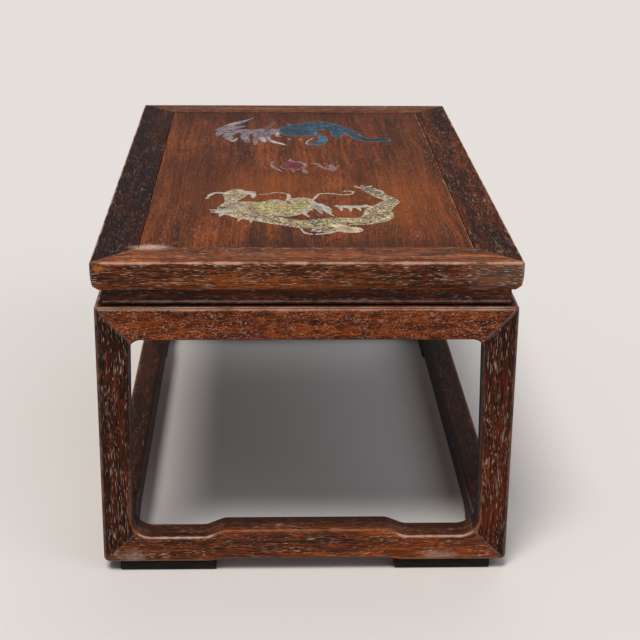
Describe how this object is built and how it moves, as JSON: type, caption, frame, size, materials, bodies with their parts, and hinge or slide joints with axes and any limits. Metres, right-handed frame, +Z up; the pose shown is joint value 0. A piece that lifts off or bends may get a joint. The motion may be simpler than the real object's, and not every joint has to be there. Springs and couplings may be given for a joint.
{
  "type": "kang table",
  "caption": "Low rectangular table with a painted framed top, a recessed waist, mitred legs and aprons, and a continuous floor stretcher on small pads.",
  "frame": {"origin": "on the floor, under the middle of the top", "axes": "+Z up, +X to the right along the short side of the top, +Y to the back along its long side"},
  "size_m": [0.3, 0.52, 0.24],
  "materials": {
    "rail_long": "dark lacquer, filled pores",
    "rail_short": "red-brown lacquer, filled pores",
    "panel_board": "orange-brown lacquer",
    "batten_wood": "planed, unpolished",
    "waist_wood": "dark red-brown lacquer",
    "stand_wood": "red-brown lacquer, filled pores",
    "pad_wood": "blackened",
    "figure_paint": "coloured lacquer paint"
  },
  "bodies": {
    "root": {"top_rail_left": "rail_long", "top_rail_right": "rail_long", "top_rail_front": "rail_short", "top_rail_back": "rail_short", "top_panel": "panel_board", "batten_front": "batten_wood", "batten_back": "batten_wood", "waist_front": "waist_wood", "waist_back": "waist_wood", "waist_left": "waist_wood", "waist_right": "waist_wood", "apron_front": "stand_wood", "apron_back": "stand_wood", "apron_left": "stand_wood", "apron_right": "stand_wood", "stretcher_front": "stand_wood", "stretcher_back": "stand_wood", "stretcher_left": "stand_wood", "stretcher_right": "stand_wood", "leg_front_left": "stand_wood", "leg_front_right": "stand_wood", "leg_back_left": "stand_wood", "leg_back_right": "stand_wood", "foot_front_left": "pad_wood", "foot_front_right": "pad_wood", "foot_back_left": "pad_wood", "foot_back_right": "pad_wood"}
  },
  "joints": []
}
